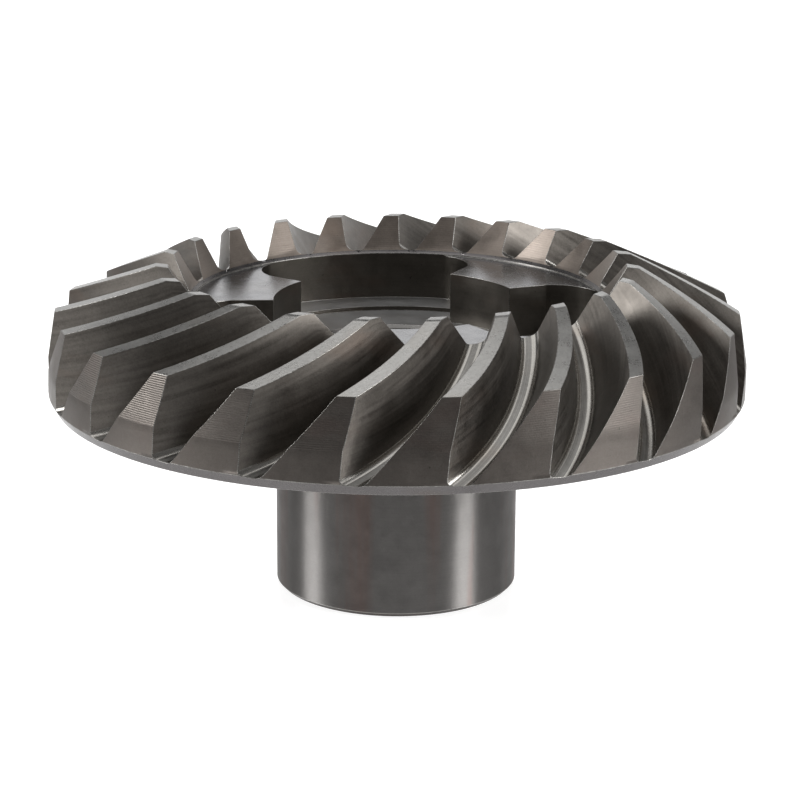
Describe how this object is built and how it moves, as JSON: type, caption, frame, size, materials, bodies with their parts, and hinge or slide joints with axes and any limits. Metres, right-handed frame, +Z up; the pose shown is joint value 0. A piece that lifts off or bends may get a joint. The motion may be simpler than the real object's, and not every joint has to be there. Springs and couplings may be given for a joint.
{
  "type": "reverse gear",
  "caption": "Spiral bevel gear with a tubular bearing hub and dog-clutch lugs inside its mouth, the reverse gear of an outboard motor's lower drive.",
  "frame": {"origin": "centre of the hub's end face, the face the gear stands on", "axes": "+Z up along the bore towards the teeth, -Y towards the picture's camera, +X to its right"},
  "size_m": [0.1, 0.1, 0.0475],
  "materials": {
    "gear_steel": "hardened and tempered steel, turned and milled, ground on the hub, with a thin film of oil"
  },
  "bodies": {
    "root": {"gear": "gear_steel"}
  },
  "joints": []
}
